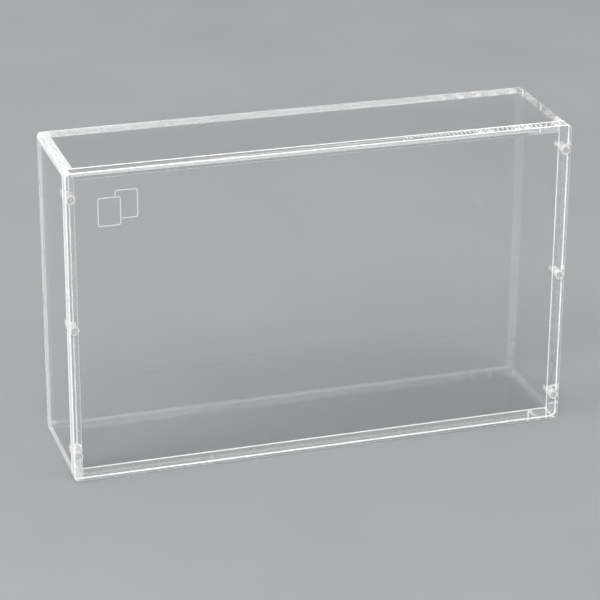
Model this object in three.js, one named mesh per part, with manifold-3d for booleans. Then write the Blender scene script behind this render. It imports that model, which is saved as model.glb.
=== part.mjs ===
// Clear acrylic card deck box: a bonded five-sided tray that stands on its long edge,
// closed by a lift-off front panel that six pairs of round magnets hold in place.
// Millimetres. +X is the width to the right, +Z is up, and the open front faces -Y.
// The origin is the centre of the footprint, on the surface the box stands on.
import * as THREE from 'three';
import { mergeVertices } from 'three/addons/utils/BufferGeometryUtils.js';
import Module from 'manifold-3d';

const wasm = await Module();
wasm.setup();

// Driving dimensions
const WIDTH = 400;
const DEPTH = 100;
const HEIGHT = 251;
const WALL = 8; // sheet of the side walls, top and bottom
const BACK = 10; // back sheet
const FRONT = 10; // front sheet
const FRONT_GAP = 0.2; // air gap behind the closed front panel
const CORNER_RADIUS = 4; // the four outer edges that run front to back
const CORNER_STEPS = 8;

const MAGNET_DIAMETER = 6.35;
const MAGNET_LENGTH = 8;
const MAGNET_CHAMFER = 0.4;
const MAGNET_RECESS = 0.2; // how far each magnet's face sits inside its hole
const HOLE_CLEARANCE = 0.3; // round the magnet and behind it
const MAGNET_INSET = 21; // from the top and bottom edges to the end magnets
const DRILL_RUNOUT = 5; // how far a drill cut starts outside the sheet
const ROUND_STEPS = 24;

// Worked out from the driving dimensions
const FRONT_FACE = -DEPTH / 2;
const FRONT_BACK_FACE = FRONT_FACE + FRONT;
const TRAY_FRONT = FRONT_BACK_FACE + FRONT_GAP;
const TRAY_BACK = DEPTH / 2;
const TRAY_DEPTH = TRAY_BACK - TRAY_FRONT;
const INNER_WIDTH = WIDTH - 2 * WALL;
const INNER_HEIGHT = HEIGHT - 2 * WALL;
const MAGNET_X = (WIDTH - WALL) / 2; // the middle of a side wall
const HOLE_RADIUS = MAGNET_DIAMETER / 2 + HOLE_CLEARANCE;
const HOLE_DEPTH = MAGNET_RECESS + MAGNET_LENGTH + HOLE_CLEARANCE;
const MAGNET_HEIGHTS = { top: HEIGHT - MAGNET_INSET, middle: HEIGHT / 2, bottom: MAGNET_INSET };

const acrylic = new THREE.MeshStandardMaterial({
  color: 0xe9f1f3,
  roughness: 0.04,
  metalness: 0,
  transparent: true,
  opacity: 0.3,
});
const nickel = new THREE.MeshStandardMaterial({ color: 0xb9b7b1, roughness: 0.22, metalness: 1 });

const box = new THREE.Group();

function addPiece(name, geometry, material, x, y, z) {
  const mesh = new THREE.Mesh(geometry, material);
  mesh.name = name;
  mesh.position.set(x, y, z);
  box.add(mesh);
}

// Booleans: a closed geometry becomes a solid, and a solid a geometry again.
function toSolid(geometry) {
  const bare = geometry.clone();
  bare.deleteAttribute('normal');
  bare.deleteAttribute('uv');
  const merged = mergeVertices(bare, 1e-4);
  return new wasm.Manifold(new wasm.Mesh({
    numProp: 3,
    vertProperties: new Float32Array(merged.attributes.position.array),
    triVerts: new Uint32Array(merged.index.array),
  }));
}

function toGeometry(solid) {
  const mesh = solid.getMesh();
  const geometry = new THREE.BufferGeometry();
  geometry.setAttribute('position', new THREE.BufferAttribute(mesh.vertProperties, 3));
  geometry.setIndex(new THREE.BufferAttribute(mesh.triVerts, 1));
  return geometry;
}

// A sheet seen from the front, its lower left corner at 0, 0, with a rounding of its own
// on each side, pushed back from y = 0 to y = depth.
function sheet(width, height, depth, leftRadius, rightRadius) {
  const outline = new THREE.Shape();
  outline.moveTo(leftRadius, 0);
  outline.lineTo(width - rightRadius, 0);
  if (rightRadius) outline.absarc(width - rightRadius, rightRadius, rightRadius, -Math.PI / 2, 0);
  outline.lineTo(width, height - rightRadius);
  if (rightRadius) outline.absarc(width - rightRadius, height - rightRadius, rightRadius, 0, Math.PI / 2);
  outline.lineTo(leftRadius, height);
  if (leftRadius) outline.absarc(leftRadius, height - leftRadius, leftRadius, Math.PI / 2, Math.PI);
  outline.lineTo(0, leftRadius);
  if (leftRadius) outline.absarc(leftRadius, leftRadius, leftRadius, Math.PI, 1.5 * Math.PI);
  const options = { depth, bevelEnabled: false, curveSegments: CORNER_STEPS };
  const geometry = new THREE.ExtrudeGeometry(outline, options);
  geometry.rotateX(Math.PI / 2); // the outline's height becomes +Z, the push becomes -Y
  geometry.translate(0, depth, 0);
  return geometry;
}

// Blind round holes for the magnets. Each starts outside the sheet, at y = mouth, and
// runs along Y to y = bottom.
function drill(geometry, x, mouth, bottom) {
  let solid = toSolid(geometry);
  for (const height of Object.values(MAGNET_HEIGHTS)) {
    const length = Math.abs(bottom - mouth);
    const bit = new THREE.CylinderGeometry(HOLE_RADIUS, HOLE_RADIUS, length, ROUND_STEPS);
    bit.translate(x, (mouth + bottom) / 2, height);
    solid = solid.subtract(toSolid(bit));
  }
  return toGeometry(solid);
}

// The tray: the side walls run its full height and depth, the top and bottom sit between
// them, and the back sheet sits inside all four.
addPiece(
  'left_wall',
  drill(sheet(WALL, HEIGHT, TRAY_DEPTH, CORNER_RADIUS, 0), WALL / 2, -DRILL_RUNOUT, HOLE_DEPTH),
  acrylic, -WIDTH / 2, TRAY_FRONT, 0,
);
addPiece(
  'right_wall',
  drill(sheet(WALL, HEIGHT, TRAY_DEPTH, 0, CORNER_RADIUS), WALL / 2, -DRILL_RUNOUT, HOLE_DEPTH),
  acrylic, WIDTH / 2 - WALL, TRAY_FRONT, 0,
);
const shelf = sheet(INNER_WIDTH, WALL, TRAY_DEPTH, 0, 0);
addPiece('bottom_panel', shelf, acrylic, -INNER_WIDTH / 2, TRAY_FRONT, 0);
addPiece('top_panel', shelf, acrylic, -INNER_WIDTH / 2, TRAY_FRONT, HEIGHT - WALL);
addPiece(
  'back_panel', sheet(INNER_WIDTH, INNER_HEIGHT, BACK, 0, 0),
  acrylic, -INNER_WIDTH / 2, TRAY_BACK - BACK, WALL,
);

// The front panel covers the whole tray and lifts off towards -Y.
let front = sheet(WIDTH, HEIGHT, FRONT, CORNER_RADIUS, CORNER_RADIUS);
for (const x of [WALL / 2, WIDTH - WALL / 2]) {
  front = drill(front, x, FRONT + DRILL_RUNOUT, FRONT - HOLE_DEPTH);
}
addPiece('front_panel', front, acrylic, -WIDTH / 2, FRONT_FACE, 0);

// The magnets: plated discs with a small chamfer, one in the panel facing one in the wall.
function disc() {
  const radius = MAGNET_DIAMETER / 2;
  const half = MAGNET_LENGTH / 2;
  const profile = [
    [0, -half], [radius - MAGNET_CHAMFER, -half], [radius, -half + MAGNET_CHAMFER],
    [radius, half - MAGNET_CHAMFER], [radius - MAGNET_CHAMFER, half], [0, half],
  ];
  return new THREE.LatheGeometry(profile.map(([x, y]) => new THREE.Vector2(x, y)), ROUND_STEPS);
}

const panelMagnetY = FRONT_BACK_FACE - MAGNET_RECESS - MAGNET_LENGTH / 2;
const wallMagnetY = TRAY_FRONT + MAGNET_RECESS + MAGNET_LENGTH / 2;
for (const [side, x] of [['left', -MAGNET_X], ['right', MAGNET_X]]) {
  for (const [place, height] of Object.entries(MAGNET_HEIGHTS)) {
    addPiece(`panel_magnet_${side}_${place}`, disc(), nickel, x, panelMagnetY, height);
    addPiece(`wall_magnet_${side}_${place}`, disc(), nickel, x, wallMagnetY, height);
  }
}

export default box;
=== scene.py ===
# Clear acrylic card deck box with a magnetic front panel: the looks, built round the fixed CAD frame.
# Everything is in metres in the CAD's frame: +X right, +Y towards the back, +Z up, table top at z = 0.
import math

import bmesh
import bpy
from mathutils import Matrix, Vector


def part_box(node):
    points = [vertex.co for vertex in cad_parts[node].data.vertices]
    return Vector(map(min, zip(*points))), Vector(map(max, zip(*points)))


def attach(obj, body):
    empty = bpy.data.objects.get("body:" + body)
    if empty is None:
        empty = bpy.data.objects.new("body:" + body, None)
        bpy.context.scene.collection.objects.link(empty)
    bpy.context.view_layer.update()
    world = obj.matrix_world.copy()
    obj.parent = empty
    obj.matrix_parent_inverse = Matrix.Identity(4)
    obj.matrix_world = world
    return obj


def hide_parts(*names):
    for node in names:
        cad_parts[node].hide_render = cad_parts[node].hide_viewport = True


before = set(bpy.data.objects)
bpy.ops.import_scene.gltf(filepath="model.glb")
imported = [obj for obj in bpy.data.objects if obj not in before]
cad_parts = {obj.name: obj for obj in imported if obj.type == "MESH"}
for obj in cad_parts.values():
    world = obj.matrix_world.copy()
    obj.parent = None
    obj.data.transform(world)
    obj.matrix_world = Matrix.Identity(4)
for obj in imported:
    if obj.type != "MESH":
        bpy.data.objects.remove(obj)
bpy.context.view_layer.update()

MM = 0.001
X, Y, Z = 0, 1, 2

# Places that the frame gives
FRONT_LOW, FRONT_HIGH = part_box("front_panel")
BACK_LOW, BACK_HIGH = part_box("back_panel")
TOP_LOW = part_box("top_panel")[0]

# Sizes of the finish
CORNER_RADIUS = 4 * MM
CORNER_STEPS = 12
EASED_EDGE = 0.6 * MM
BOND_FILM = 0.02 * MM  # the cement between two bonded sheets
HOLE_CLEARANCE = 0.3 * MM
HOLE_RUNOUT = 2 * MM  # how far a cutter starts outside the sheet
FILLET_AND_GLINT_RING = 0.75 * MM  # the white ring round a hole's blind end, outside the glue: partly a glue fillet's frosting, partly a painted highlight round the magnet
SHARP_ANGLE = math.radians(40)  # edges that turn faster than this are eased
SAME_PLACE = 0.01 * MM  # points closer than this lie in one plane

# What several materials share
ACRYLIC_IOR = 1.49
WHITE = (1.0, 1.0, 1.0, 1.0)


# ---------------------------------------------------------------- node helpers


class Nodes:
    """Short calls for building one material's or the world's node tree."""

    def __init__(self, owner):
        owner.use_nodes = True
        self.tree = owner.node_tree
        self.tree.nodes.clear()

    def add(self, kind, inputs=None, **settings):
        """A new node, with its settings, and each input set to a value or linked to a socket."""
        node = self.tree.nodes.new(kind)
        for key, value in settings.items():
            setattr(node, key, value)
        for key, value in (inputs or {}).items():
            if isinstance(value, bpy.types.NodeSocket):
                self.tree.links.new(value, node.inputs[key])
            else:
                node.inputs[key].default_value = value
        return node

    def place(self):
        """The surface point in the CAD's own coordinates."""
        return self.add("ShaderNodeTexCoord").outputs["Object"]

    def noise(self, density, detail=3.0, roughness=0.5):
        """Noise of that many features to a metre: one number, or one for each axis."""
        scale = density if isinstance(density, tuple) else (density, density, density)
        spread = self.add("ShaderNodeMapping", {"Vector": self.place(), "Scale": scale}).outputs["Vector"]
        inputs = {"Vector": spread, "Scale": 1.0, "Detail": detail, "Roughness": roughness}
        return self.add("ShaderNodeTexNoise", inputs).outputs["Fac"]

    def bars(self, axis, pitch):
        """Light and dark bars across an axis, pitch metres apart and a little irregular."""
        radians_per_unit = 20.0  # what the wave texture runs through at scale 1
        scale = 2 * math.pi / radians_per_unit / pitch
        wave = {"Vector": self.place(), "Scale": scale, "Distortion": 0.6, "Detail": 1.0}
        node = self.add("ShaderNodeTexWave", wave, wave_type="BANDS", bands_direction="XYZ"[axis])
        return node.outputs["Fac"]

    def remap(self, value, source, target):
        """value brought from the source range to the target range, and kept inside it."""
        inputs = {"Value": value, "From Min": source[0], "From Max": source[1]}
        inputs.update({"To Min": target[0], "To Max": target[1]})
        return self.add("ShaderNodeMapRange", inputs).outputs["Result"]

    def ramp(self, axis, source, target):
        """A value that runs through the target range as X, Y or Z runs through the source range."""
        position = self.add("ShaderNodeSeparateXYZ", {"Vector": self.place()}).outputs[axis]
        return self.remap(position, source, target)

    def times(self, first, second):
        return self.add("ShaderNodeMath", {0: first, 1: second}, operation="MULTIPLY").outputs["Value"]

    def blend(self, share, first, second):
        """A number between two numbers."""
        return self.add("ShaderNodeMix", {"Factor": share, "A": first, "B": second}).outputs["Result"]

    def tint(self, share, first, second):
        """A colour between two colours."""
        node = self.add("ShaderNodeMix", {"Factor": share, "A": first, "B": second}, data_type="RGBA")
        return next(socket for socket in node.outputs if socket.type == "RGBA")

    def bump(self, height, depth):
        return self.add("ShaderNodeBump", {"Height": height, "Distance": depth}).outputs["Normal"]

    def principled(self, inputs):
        return self.add("ShaderNodeBsdfPrincipled", inputs).outputs["BSDF"]

    def see_through(self, colour=WHITE):
        return self.add("ShaderNodeBsdfTransparent", {"Color": colour}).outputs["BSDF"]

    def mix(self, share, first, second):
        """A shader between two shaders."""
        return self.add("ShaderNodeMixShader", {0: share, 1: first, 2: second}).outputs["Shader"]

    def surface(self, shader):
        self.add("ShaderNodeOutputMaterial", {"Surface": shader})


def new_material(name):
    material = bpy.data.materials.new(name)
    return material, Nodes(material)


# ---------------------------------------------------------------- materials


def lets_lamps_through(nodes, shader, clear=0.97, grazing=0.6):
    """Clear plastic's soft light shadow: lamps pass straight through, less so where they graze a sheet."""
    facing = nodes.add("ShaderNodeLayerWeight", {"Blend": 0.5}).outputs["Facing"]
    shade = nodes.remap(facing, (0.35, 1.0), (clear, grazing))
    lamp = nodes.add("ShaderNodeLightPath").outputs["Is Shadow Ray"]
    return nodes.mix(lamp, shader, nodes.see_through(shade))


def polished_acrylic(nodes, marks, roughness, marks_depth):
    """Clear plastic with a polish that tool marks disturb a little."""
    return nodes.principled({
        "Base Color": (0.98, 0.995, 0.995, 1.0),
        "Roughness": nodes.remap(marks, (0.3, 0.7), (0.0, roughness)),
        "IOR": ACRYLIC_IOR,
        "Transmission Weight": 1.0,
        "Normal": nodes.bump(marks, marks_depth),
    })


def milk(nodes):
    """The white that a cut through clear plastic scatters, which the rims, eased edges and joints also
    carry as painted light.
    """
    return nodes.principled({"Base Color": (0.95, 0.96, 0.96, 1.0), "Roughness": 0.35})


def acrylic_face():
    """The sheet's cast faces: water clear and very slightly wavy, with a trace of dust."""
    material, nodes = new_material("acrylic_face")
    waves = nodes.noise(40, detail=1.0)
    clear = nodes.principled({
        "Base Color": (0.985, 0.995, 0.995, 1.0),
        "Roughness": 0.0,
        "IOR": ACRYLIC_IOR,
        "Transmission Weight": 1.0,
        "Normal": nodes.bump(waves, 0.003 * MM),
    })
    specks = nodes.noise(1500, detail=1.0)
    dust = nodes.add("ShaderNodeBsdfDiffuse", {"Color": (0.9, 0.9, 0.9, 1.0)}).outputs["BSDF"]
    dusty = nodes.mix(nodes.remap(specks, (0.78, 0.84), (0.0, 0.03)), clear, dust)
    nodes.surface(lets_lamps_through(nodes, dusty))
    return material


def acrylic_rim(along, least_milk_and_light, most_milk_and_light, painted_glint_milk):
    """An outer edge, cut and buffed along its length, with fine streaks. Its white is partly the frosting
    of the cut and
    partly painted light: whiter on the left, on the lamp's side, and clearer towards the right, where
    painted glints show as short bright bars near the top."""
    material, nodes = new_material("acrylic_rim_" + "xyz"[along])
    across_streaks, along_streaks = 1800.0, 25.0
    density = tuple(along_streaks if axis == along else across_streaks for axis in (X, Y, Z))
    streaks = nodes.noise(density, detail=3.0, roughness=0.6)
    streaked = nodes.remap(streaks, (0.35, 0.65), (least_milk_and_light, most_milk_and_light))

    # Painted glints: short bright bars in patches along the rim, near the top only
    patches = nodes.remap(nodes.noise(60), (0.3, 0.6), (0.0, 1.0))
    glint_dashes = nodes.times(nodes.bars(along, 3.4 * MM), patches)
    near_top = nodes.ramp(Z, (FRONT_HIGH[Z] - 21 * MM, FRONT_HIGH[Z] - 11 * MM), (0.03, painted_glint_milk))
    painted_glints = nodes.times(near_top, nodes.remap(glint_dashes, (0.3, 0.8), (0.1, 1.0)))

    # Painted light: white streaks on the left, where the lamp falls, fading into the painted glints on the
    # right
    towards_right = nodes.ramp(X, (0.25 * FRONT_LOW[X], 0.75 * FRONT_HIGH[X]), (0.0, 1.0))
    clear = polished_acrylic(nodes, streaks, 0.04, 0.0008 * MM)
    cut = nodes.mix(nodes.blend(towards_right, streaked, painted_glints), clear, milk(nodes))
    nodes.surface(lets_lamps_through(nodes, cut, clear=0.8))
    return material


def mating_edge():
    """An edge that looks to the front, where the front sheet meets it, or to the back: polished clear,
    with the faintest milkiness."""
    material, nodes = new_material("mating_edge")
    marks = nodes.noise(700)
    clear = polished_acrylic(nodes, marks, 0.02, 0.0004 * MM)
    glow = nodes.mix(nodes.remap(marks, (0.4, 0.7), (0.01, 0.06)), clear, milk(nodes))
    nodes.surface(lets_lamps_through(nodes, glow, clear=0.85))
    return material


def eased_edge():
    """The narrow scraped round along every sharp edge, which shows as a bright line: its white is partly
    the scrape's frosting and partly a painted highlight.
    """
    material, nodes = new_material("eased_edge")
    marks = nodes.noise(400, detail=4.0)
    clear = polished_acrylic(nodes, marks, 0.3, 0.004 * MM)
    # Painted highlight: three quarters to all of the round is white
    nodes.surface(nodes.mix(nodes.remap(marks, (0.3, 0.7), (0.75, 1.0)), clear, milk(nodes)))
    return material


def bonded_joint():
    """A cemented face between two sheets: hazy with tiny bubbles. Painted light makes it whitest at the
    left wall, on the lamp's side, and it is whiter high up than low down."""
    material, nodes = new_material("bonded_joint")
    haze = nodes.add("ShaderNodeBsdfTranslucent", {"Color": (0.9, 0.92, 0.92, 1.0)}).outputs["BSDF"]
    white = nodes.mix(0.5, haze, milk(nodes))
    bubbles = nodes.remap(nodes.noise(900), (0.35, 0.7), (0.3, 0.6))
    elsewhere = nodes.ramp(Z, (TOP_LOW[Z] - 8 * MM, TOP_LOW[Z]), (0.15, 0.5))
    # Painted light: the joints at the left wall, on the lamp's side, get the full white
    off_left_wall = nodes.ramp(X, (TOP_LOW[X] + 2 * MM, TOP_LOW[X] + 7 * MM), (0.0, 1.0))
    amount = nodes.blend(off_left_wall, 1.0, elsewhere)
    nodes.surface(nodes.mix(nodes.times(bubbles, amount), nodes.see_through(), white))
    return material


def open_joint():
    """The facing side of the same joint: the plastic runs on with no surface at all."""
    material, nodes = new_material("open_joint")
    nodes.surface(nodes.see_through())
    return material


def drilled_acrylic():
    """The wall of a drilled hole, wetted by glue: see-through, with fine whitish rings from the bit."""
    material, nodes = new_material("drilled_acrylic")
    rings = nodes.noise((60, 4000, 60), detail=2.0)
    through = nodes.see_through((0.97, 0.97, 0.97, 1.0))
    nodes.surface(nodes.mix(nodes.remap(rings, (0.45, 0.7), (0.06, 0.5)), through, milk(nodes)))
    return material


def glued_end():
    """The blind end of a drilled hole, wetted by the magnet's glue, with small bubbles trapped in it."""
    material, nodes = new_material("glued_end")
    bubbles = nodes.noise(1100, detail=2.0)
    share = nodes.remap(bubbles, (0.4, 0.7), (0.05, 0.4))
    nodes.surface(nodes.mix(share, nodes.see_through(), milk(nodes)))
    return material


def nickel_plate():
    """Nickel with fine tumbling marks, and patches that are a little lighter and duller."""
    material, nodes = new_material("nickel_plate")
    tumbling = nodes.noise(3500, detail=4.0)
    patches = nodes.noise(350, detail=2.0)
    lighter = nodes.remap(patches, (0.35, 0.65), (0.0, 1.0))
    nodes.surface(nodes.principled({
        "Base Color": nodes.tint(lighter, (0.70, 0.69, 0.67, 1.0), (0.80, 0.79, 0.77, 1.0)),
        "Metallic": 1.0,
        "Roughness": nodes.remap(patches, (0.3, 0.7), (0.4, 0.55)),
        "Normal": nodes.bump(tumbling, 0.006 * MM),
    }))
    return material


def etched_mark():
    """Laser-etched acrylic: fine white frosting."""
    material, nodes = new_material("etched_mark")
    grain = nodes.noise(9000, detail=2.0)
    white = nodes.principled({
        "Base Color": (0.93, 0.94, 0.94, 1.0),
        "Roughness": nodes.remap(grain, (0.3, 0.7), (0.5, 0.8)),
        "Normal": nodes.bump(grain, 0.01 * MM),
    })
    nodes.surface(nodes.mix(nodes.remap(grain, (0.3, 0.7), (0.25, 0.6)), nodes.see_through(), white))
    return material


def pale_floor():
    """A matt table top of pale grey, with a trace of cloudiness."""
    material, nodes = new_material("pale_floor")
    cloud = nodes.remap(nodes.noise(6), (0.3, 0.7), (0.0, 1.0))
    nodes.surface(nodes.principled({
        "Base Color": nodes.tint(cloud, (0.242, 0.247, 0.255, 1.0), (0.256, 0.26, 0.266, 1.0)),
        "Roughness": 0.9,
        "Specular IOR Level": 0.05,
    }))
    return material


FACE, RIM_X, RIM_Y, RIM_Z, MATING, EASED, BOND, OPEN, DRILLED, GLUED = range(10)
ACRYLIC = [
    acrylic_face(),
    # Painted light as well: the upright rims, lit by the lamp on the left, are made whitest, and the rims
    # along X, which face up and down, least
    acrylic_rim(X, least_milk_and_light=0.02, most_milk_and_light=0.08, painted_glint_milk=0.45),
    acrylic_rim(Y, least_milk_and_light=0.15, most_milk_and_light=0.5, painted_glint_milk=0.4),
    acrylic_rim(Z, least_milk_and_light=0.35, most_milk_and_light=0.65, painted_glint_milk=0.06),
    mating_edge(),
    eased_edge(),
    bonded_joint(),
    open_joint(),
    drilled_acrylic(),
    glued_end(),
]
NICKEL = nickel_plate()
ETCHED = etched_mark()


# ---------------------------------------------------------------- mesh helpers


def new_object(name, solid, materials):
    """A scene object from a finished bmesh."""
    mesh = bpy.data.meshes.new(name)
    solid.to_mesh(mesh)
    solid.free()
    for material in materials:
        mesh.materials.append(material)
    piece = bpy.data.objects.new(name, mesh)
    bpy.context.scene.collection.objects.link(piece)
    return piece


def apply_modifiers(piece):
    """Puts what the piece's modifiers make into its mesh, and takes them off."""
    bpy.context.view_layer.update()
    shown = piece.evaluated_get(bpy.context.evaluated_depsgraph_get())
    piece.data = bpy.data.meshes.new_from_object(shown)
    piece.modifiers.clear()


def smooth_rounds(piece, degrees=16):
    """Smooth shading round arcs, crisp borders wherever the surface turns faster, and flat faces that
    stay truly flat where an arc runs out into them."""
    piece.data.shade_smooth()
    piece.data.set_sharp_from_angle(angle=math.radians(degrees))
    weighted = piece.modifiers.new("flat_faces", "WEIGHTED_NORMAL")
    weighted.keep_sharp = True
    weighted.weight = 100
    apply_modifiers(piece)


def outline(low, high, left_radius, right_radius):
    """Corner points of a sheet seen from the front, anticlockwise, with rounded outer corners."""
    corners = [
        (low[X], low[Z], left_radius, math.pi),
        (high[X], low[Z], right_radius, 1.5 * math.pi),
        (high[X], high[Z], right_radius, 0.0),
        (low[X], high[Z], left_radius, 0.5 * math.pi),
    ]
    middle_x, middle_z = (low[X] + high[X]) / 2, (low[Z] + high[Z]) / 2
    points = []
    for x, z, radius, start in corners:
        if radius == 0:
            points.append((x, z))
            continue
        centre_x = x + math.copysign(radius, middle_x - x)
        centre_z = z + math.copysign(radius, middle_z - z)
        for step in range(CORNER_STEPS + 1):
            angle = start + step / CORNER_STEPS * math.pi / 2
            points.append((centre_x + radius * math.cos(angle), centre_z + radius * math.sin(angle)))
    return points


def extruded(points, y_low, y_high):
    """A closed solid between y_low and y_high over an outline of (x, z) points."""
    solid = bmesh.new()
    front = solid.faces.new([solid.verts.new((x, y_low, z)) for x, z in points])
    grown = bmesh.ops.extrude_face_region(solid, geom=[front])
    far = [v for v in grown["geom"] if isinstance(v, bmesh.types.BMVert)]
    bmesh.ops.translate(solid, verts=far, vec=(0, y_high - y_low, 0))
    bmesh.ops.recalc_face_normals(solid, faces=solid.faces)
    return solid


def inside(point, region, slack):
    """Whether a point lies in a region, given as its low and high corner, or within slack of it."""
    low, high = region
    return all(low[axis] - slack <= point[axis] <= high[axis] + slack for axis in (X, Y, Z))


def cut_round_bonds(solid, low, high, bonds):
    """Cuts the flat face that each bonded region lies on along the region's borders, once per border."""
    borders = set()
    for first, last in bonds:
        flat = min((X, Y, Z), key=lambda axis: abs(last[axis] - first[axis]))
        for axis in {X, Y, Z} - {flat}:
            for end in (first, last):
                if low[axis] + MM < end[axis] < high[axis] - MM:
                    borders.add((flat, round(first[flat], 6), axis, round(end[axis], 6)))
    for flat, level, axis, end in sorted(borders):
        faces = [f for f in solid.faces if all(abs(v.co[flat] - level) < SAME_PLACE for v in f.verts)]
        around = dict.fromkeys(e for f in faces for e in f.edges)
        around.update(dict.fromkeys(v for f in faces for v in f.verts))
        normal = Vector((0, 0, 0))
        normal[axis] = 1
        bmesh.ops.bisect_plane(
            solid, geom=faces + list(around), dist=SAME_PLACE / 10,
            plane_co=normal * end, plane_no=normal,
        )


def unbonded_slot(normal, thick):
    """The material slot of a sheet's face, from where it looks: a cast face, a rim by the direction it
    runs in, or an edge that looks to the front or the back."""
    looks_along = [abs(part) for part in normal]
    if looks_along[thick] > 0.999:
        return FACE
    across = max({X, Y, Z} - {thick}, key=lambda axis: looks_along[axis])
    if thick == Y and looks_along[X] > 0.05:
        across = X  # a rounded corner belongs to the upright rim beside it
    if across == Y:
        return MATING
    return {X: RIM_X, Y: RIM_Y, Z: RIM_Z}[({X, Y, Z} - {thick, across}).pop()]


def sheet(low, high, thick, left_radius=0.0, right_radius=0.0, bonds=(), bond_slot=BOND):
    """One acrylic sheet. thick is the axis that its thickness runs along, and bonds are the flat regions
    where another sheet is cemented to it, each as its low and high corner. Other sharp edges are eased."""
    solid = extruded(outline(low, high, left_radius, right_radius), low[Y], high[Y])
    cut_round_bonds(solid, low, high, bonds)

    def bonded(face):
        middle = face.calc_center_median()
        return any(inside(middle, region, slack=0.1 * MM) for region in bonds)

    sharp = [
        e for e in solid.edges
        if e.is_manifold and e.calc_face_angle() > SHARP_ANGLE
        and not any(bonded(f) for f in e.link_faces)
    ]
    eased = bmesh.ops.bevel(solid, geom=sharp, offset=EASED_EDGE, segments=2, profile=0.5, affect="EDGES")
    for face in solid.faces:
        face.material_index = bond_slot if bonded(face) else unbonded_slot(face.normal, thick)
    for face in eased["faces"]:
        face.material_index = EASED
    return solid


def drill_bit(x, z, radius, y_mouth, y_end, steps=40):
    """A round cutter along Y, whose blind end is a clear middle inside a white ring: partly a glue
    fillet's frosting and partly a painted highlight round the magnet.
    """
    angles = [2 * math.pi * step / steps for step in range(steps)]
    circle = [(x + radius * math.cos(angle), z + radius * math.sin(angle)) for angle in angles]
    bit = extruded(circle, min(y_mouth, y_end), max(y_mouth, y_end))
    for face in bit.faces:
        face.material_index = DRILLED
    tip = [f for f in bit.faces if all(abs(v.co[Y] - y_end) < SAME_PLACE for v in f.verts)]
    ring = bmesh.ops.inset_region(bit, faces=tip, thickness=FILLET_AND_GLINT_RING)
    # Painted highlight: the ring takes the eased edges' white
    for face in ring["faces"]:
        face.material_index = EASED
    for face in tip:
        face.material_index = GLUED
    return bit


def drill(piece, holes):
    """Cuts round blind holes, each (x, z, radius, y_mouth, y_end)."""
    cutters = []
    for hole in holes:
        cutter = new_object("cutter", drill_bit(*hole), ACRYLIC)
        cutters.append(cutter)
        cut = piece.modifiers.new("cut", "BOOLEAN")
        cut.object = cutter
        cut.operation = "DIFFERENCE"
        cut.solver = "EXACT"
        cut.material_mode = "TRANSFER"
    apply_modifiers(piece)
    for cutter in cutters:
        bpy.data.objects.remove(cutter)


def finish_sheet(solid, node, body, holes=()):
    """Turns a sheet's solid into its piece, drilled and shaded, in place of its CAD node."""
    piece = new_object("clear_" + node, solid, ACRYLIC)
    if holes:
        drill(piece, holes)
    smooth_rounds(piece)
    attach(piece, body)
    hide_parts(node)


# ---------------------------------------------------------------- the tray


def magnet_nodes(prefix):
    return [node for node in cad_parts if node.startswith(prefix)]


def axis_and_radius(node):
    """A magnet's x, z and radius."""
    low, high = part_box(node)
    return (low[X] + high[X]) / 2, (low[Z] + high[Z]) / 2, (high[X] - low[X]) / 2


def holes_for(prefix, mouth, side=None):
    """A hole round every magnet of that name, on one side of the box or both. Its mouth, beyond the
    sheet's face, is to the front (-1) or back (1), and its blind end just past the magnet's."""
    holes = []
    for node in magnet_nodes(prefix):
        low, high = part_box(node)
        x, z, radius = axis_and_radius(node)
        if side is not None and (x > 0) != (side > 0):
            continue
        if mouth > 0:
            y_mouth, y_end = high[Y] + HOLE_RUNOUT, low[Y] - HOLE_CLEARANCE
        else:
            y_mouth, y_end = low[Y] - HOLE_RUNOUT, high[Y] + HOLE_CLEARANCE
        holes.append((x, z, radius + HOLE_CLEARANCE, y_mouth, y_end))
    return holes


def build_walls():
    """The side walls, full height, with the bonding strips of the bottom, top and back on their inner
    face and rounded outer corners."""
    for name, side in (("left_wall", -1), ("right_wall", 1)):
        low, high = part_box(name)
        inner = high[X] if side < 0 else low[X]
        strips = [
            ((inner, low[Y], low[Z]), (inner, high[Y], BACK_LOW[Z])),
            ((inner, low[Y], BACK_HIGH[Z]), (inner, high[Y], high[Z])),
            ((inner, BACK_LOW[Y], BACK_LOW[Z]), (inner, high[Y], BACK_HIGH[Z])),
        ]
        radii = (CORNER_RADIUS, 0.0) if side < 0 else (0.0, CORNER_RADIUS)
        solid = sheet(low, high, X, *radii, bonds=strips, bond_slot=OPEN)
        finish_sheet(solid, name, "case", holes_for("wall_magnet", -1, side))


def build_shelves():
    """The bottom and top panels, bonded to the walls at both ends and to the back along one strip."""
    for name in ("bottom_panel", "top_panel"):
        low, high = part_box(name)
        inner = high[Z] if name == "bottom_panel" else low[Z]
        ends = [((x, low[Y], low[Z]), (x, high[Y], high[Z])) for x in (low[X], high[X])]
        strip = ((low[X], BACK_LOW[Y], inner), (high[X], high[Y], inner))
        solid = sheet(low, high, Z, bonds=ends + [strip])
        # Each end draws in a little, which leaves room for the cement
        for vertex in solid.verts:
            if abs(vertex.co[X]) > high[X] - BOND_FILM / 2:
                vertex.co[X] -= math.copysign(BOND_FILM, vertex.co[X])
        finish_sheet(solid, name, "case")


def build_back():
    """The back sheet, bonded on all four edges."""
    film = Vector((BOND_FILM, 0, BOND_FILM))
    low, high = Vector(BACK_LOW) + film, Vector(BACK_HIGH) - film
    edges = []
    for axis in (X, Z):
        for end in (low, high):
            first, last = list(low), list(high)
            first[axis] = last[axis] = end[axis]
            edges.append((first, last))
    finish_sheet(sheet(low, high, Y, bonds=edges), "back_panel", "case")


# ---------------------------------------------------------------- the front panel


def build_front():
    """The loose front sheet, with rounded corners and six magnet holes in its rear face."""
    solid = sheet(FRONT_LOW, FRONT_HIGH, Y, CORNER_RADIUS, CORNER_RADIUS)
    finish_sheet(solid, "front_panel", "front_panel", holes_for("panel_magnet", 1))


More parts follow.
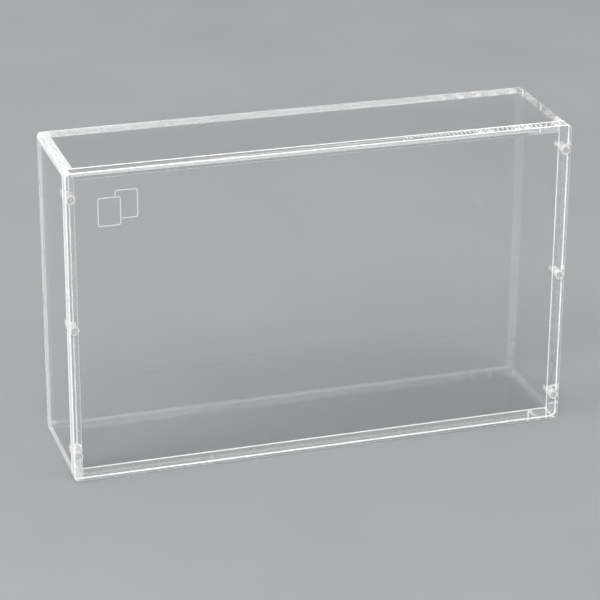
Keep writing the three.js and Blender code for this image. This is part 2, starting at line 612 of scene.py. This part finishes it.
def stroke(solid, points, width, depth, origin, closed):
    """A flat line of that width along (x, z) points from origin, depth thick along Y, added to solid."""
    count = len(points)
    rails = ([], [])
    for i, (x, z) in enumerate(points):
        before = points[(i - 1) % count] if closed or i > 0 else points[i]
        after = points[(i + 1) % count] if closed or i < count - 1 else points[i]
        ahead_x, ahead_z = Vector((after[0] - before[0], after[1] - before[1])).normalized()
        for rail, offset in zip(rails, (-width / 2, width / 2)):
            rail.append((x - ahead_z * offset, z + ahead_x * offset))
    rings = [
        [solid.verts.new(origin + Vector((x, y, z))) for x, z in rail]
        for y in (0.0, depth) for rail in rails
    ]
    for first, second in ((0, 1), (1, 3), (3, 2), (2, 0)):
        for i in range(count if closed else count - 1):
            j = (i + 1) % count
            solid.faces.new((rings[first][i], rings[first][j], rings[second][j], rings[second][i]))
    if not closed:
        for i in (0, -1):
            solid.faces.new((rings[0][i], rings[1][i], rings[3][i], rings[2][i]))


def build_mark():
    """A plain etched device on the panel's upper left: two blank cards, one in front of the other."""
    half_x, half_z, corner = 8.5 * MM, 11 * MM, 1.8 * MM
    line, depth = 0.9 * MM, 0.01 * MM
    from_left, from_top = 39 * MM, 30 * MM
    centre = Vector((FRONT_LOW[X] + from_left, FRONT_LOW[Y] - 2 * depth, FRONT_HIGH[Z] - from_top))
    shift = Vector((6.5 * MM, 0, 2.5 * MM))  # from the device's centre to the rear card's
    card = outline((-half_x, 0, -half_z), (half_x, 0, half_z), corner, corner)

    # The rear card's outline, from one line's width off the front card round to the same again
    stop_x, stop_z = half_x - 2 * shift[X] + line, half_z - 2 * shift[Z] + line
    seen = [(x, z) for x, z in card if x > stop_x or z > stop_z]
    start = max(range(len(seen)), key=lambda i: (Vector(seen[i]) - Vector(seen[i - 1])).length)
    seen = seen[start:] + seen[:start]
    seen = [(stop_x, seen[0][1])] + seen + [(seen[-1][0], stop_z)]

    mark = bmesh.new()
    stroke(mark, card, line, depth, centre - shift, closed=True)
    stroke(mark, seen, line, depth, centre + shift, closed=False)
    bmesh.ops.recalc_face_normals(mark, faces=mark.faces)
    piece = new_object("etched_cards", mark, [ETCHED])
    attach(piece, "front_panel")


# ---------------------------------------------------------------- magnets


def disc_profile(radius, y_low, y_high, rim=0.5 * MM, rim_steps=5):
    """A disc's half section as (radius, y) points, from axis to axis, with rolled rims."""
    profile = [(0.0, y_low)]
    for middle, start in ((y_low + rim, -math.pi / 2), (y_high - rim, 0.0)):
        for step in range(rim_steps + 1):
            angle = start + step / rim_steps * math.pi / 2
            profile.append((radius - rim + rim * math.cos(angle), middle + rim * math.sin(angle)))
    profile.append((0.0, y_high))
    return profile


def build_magnets():
    """Plated discs with a rolled rim, lathed about Y."""
    for node in magnet_nodes("panel_magnet") + magnet_nodes("wall_magnet"):
        low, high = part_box(node)
        x, z, radius = axis_and_radius(node)
        disc = bmesh.new()
        verts = [disc.verts.new((r, y, 0)) for r, y in disc_profile(radius, low[Y], high[Y])]
        edges = [disc.edges.new(pair) for pair in zip(verts, verts[1:])]
        bmesh.ops.spin(
            disc, geom=verts + edges, cent=(0, 0, 0), axis=(0, 1, 0),
            angle=2 * math.pi, steps=48, use_merge=True,
        )
        bmesh.ops.remove_doubles(disc, verts=disc.verts, dist=SAME_PLACE / 10)
        bmesh.ops.recalc_face_normals(disc, faces=disc.faces)
        bmesh.ops.translate(disc, verts=disc.verts, vec=(x, 0, z))
        piece = new_object("nickel_" + node, disc, [NICKEL])
        smooth_rounds(piece, degrees=40)
        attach(piece, "front_panel" if node.startswith("panel") else "case")
        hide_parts(node)


# ---------------------------------------------------------------- floor, light, camera


def build_floor():
    """A table top well past the camera's view, just under the box."""
    half, below = 6.0, 0.2 * MM
    corners = [(-half, -half), (half, -half), (half, half), (-half, half)]
    plane = bmesh.new()
    plane.faces.new([plane.verts.new((x, y, -below)) for x, y in corners])
    new_object("floor", plane, [pale_floor()])


def build_studio():
    """A low soft grey wall all round and a bright cove above it, brightest towards the front left, under
    a dimmer ceiling. Flat faces mirror the wall or the ceiling and stay clean, and the eased edges catch
    the cove."""
    world = bpy.data.worlds.new("studio")
    bpy.context.scene.world = world
    nodes = Nodes(world)
    direction = nodes.add("ShaderNodeTexCoord").outputs["Generated"]

    def facing(way):
        node = nodes.add("ShaderNodeVectorMath", {0: direction, 1: way}, operation="DOT_PRODUCT")
        return node.outputs["Value"]

    wall_glow, ceiling_glow = 0.33, 0.6
    cove_glow = nodes.remap(facing((-0.6, -0.8, 0.0)), (-0.5, 0.6), (1.4, 4.0))
    up = facing((0.0, 0.0, 1.0))
    above_wall = nodes.blend(nodes.remap(up, (0.88, 0.96), (0.0, 1.0)), cove_glow, ceiling_glow)
    glow = nodes.blend(nodes.remap(up, (0.45, 0.75), (0.0, 1.0)), wall_glow, above_wall)
    background = nodes.add("ShaderNodeBackground", {"Color": WHITE, "Strength": glow})
    nodes.add("ShaderNodeOutputWorld", {"Surface": background.outputs["Background"]})


def build_key_light():
    """One soft lamp from the left, which adds shape."""
    place, target = Vector((-1.8, -0.6, 0.9)), Vector((0.0, 0.0, FRONT_HIGH[Z] / 2))
    lamp = bpy.data.lights.new("key", "AREA")
    lamp.shape = "SQUARE"
    lamp.size = 1.0
    lamp.energy = 24
    holder = bpy.data.objects.new("key", lamp)
    bpy.context.scene.collection.objects.link(holder)
    holder.location = place
    holder.rotation_euler = (target - place).to_track_quat("-Z", "Y").to_euler()


def build_camera():
    """The photograph's viewpoint: above and to the left of the box, through a long lens."""
    place = Vector((-546.41, -1713.93, 859.96)) * MM
    yaw, pitch, roll = math.radians(-17.56), math.radians(-22.69), math.radians(-0.34)
    camera = bpy.data.cameras.new("camera")
    camera.lens = 148.03
    camera.sensor_width = 36.0
    camera.clip_end = 60.0
    holder = bpy.data.objects.new("camera", camera)
    bpy.context.scene.collection.objects.link(holder)
    level = Matrix.Rotation(math.pi / 2, 4, "X")  # looks along +Y with +Z up
    turn = Matrix.Rotation(yaw, 4, "Z") @ Matrix.Rotation(pitch, 4, "X") @ Matrix.Rotation(roll, 4, "Y")
    holder.matrix_world = Matrix.Translation(place) @ turn @ level
    bpy.context.scene.camera = holder


def set_light_and_colour():
    """Long light paths, because light runs far inside clear sheets before it leaves an edge, and plain
    display colours."""
    cycles = bpy.context.scene.cycles
    cycles.max_bounces = 64
    cycles.glossy_bounces = 64
    cycles.transmission_bounces = 64
    cycles.transparent_max_bounces = 32
    bpy.context.scene.view_settings.view_transform = "Standard"


build_camera()
build_walls()
build_shelves()
build_back()
build_front()
build_mark()
build_magnets()
build_floor()
build_studio()
build_key_light()
set_light_and_colour()
